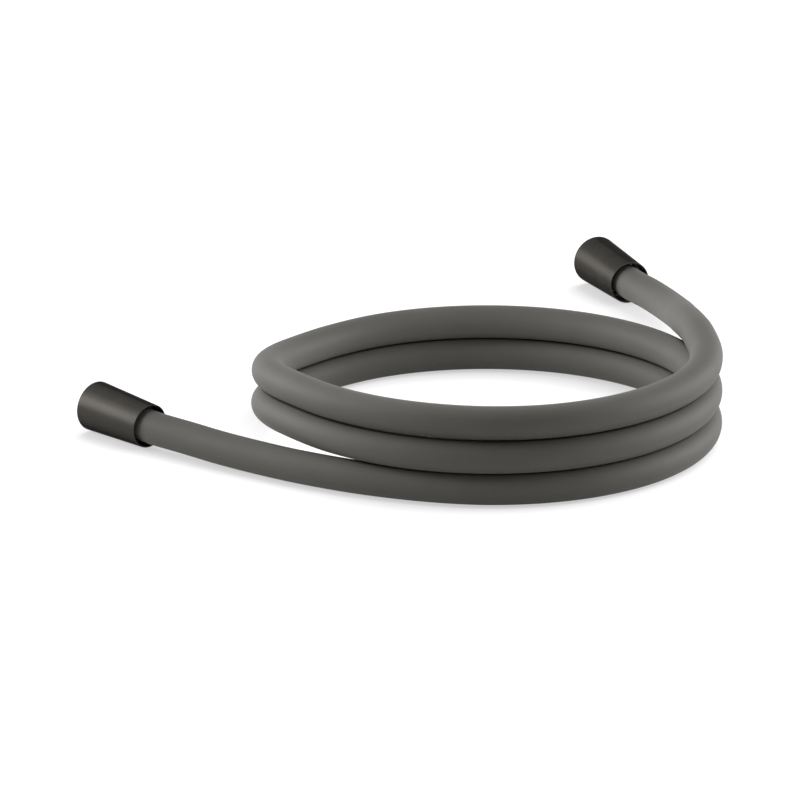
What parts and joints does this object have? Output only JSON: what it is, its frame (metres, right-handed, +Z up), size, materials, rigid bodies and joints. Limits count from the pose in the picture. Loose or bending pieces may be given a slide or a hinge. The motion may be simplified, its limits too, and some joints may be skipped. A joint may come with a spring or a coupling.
{
  "type": "shower hose",
  "caption": "Smooth round shower hose lying in stacked turns, with a conical swivel nut, washer, nipple and crimped sleeve at each end.",
  "frame": {"origin": "on the floor, under the middle of the whole coiled hose's box", "axes": "+Z up, +X to the right and +Y away from the picture's camera; the coil's own axis is vertical at x = 0.042, y = -0.069"},
  "size_m": [0.3124, 0.3692, 0.0486],
  "materials": {
    "hose": "smooth matte dark grey PVC",
    "nut": "satin dark titanium grey",
    "nipple": "turned brass",
    "crimp": "drawn stainless steel",
    "washer": "moulded black rubber"
  },
  "bodies": {
    "hose_with_fittings": {"hose": "hose", "left_sealing_washer": "washer", "left_nipple": "nipple", "left_crimp_sleeve": "crimp", "right_sealing_washer": "washer", "right_nipple": "nipple", "right_crimp_sleeve": "crimp"},
    "left_nut": {"left_swivel_nut": "nut"},
    "right_nut": {"right_swivel_nut": "nut"}
  },
  "joints": [
    {"name": "left_nut_swivel", "type": "hinge", "parent": "hose_with_fittings", "child": "left_nut", "pos_m": [-0.13442, -0.07425, 0.01156], "axis": [-0.6967, 0.7164, 0.0382], "continuous": true},
    {"name": "right_nut_swivel", "type": "hinge", "parent": "hose_with_fittings", "child": "right_nut", "pos_m": [0.10765, 0.16227, 0.01156], "axis": [-0.4302, 0.9019, 0.0382], "continuous": true}
  ]
}
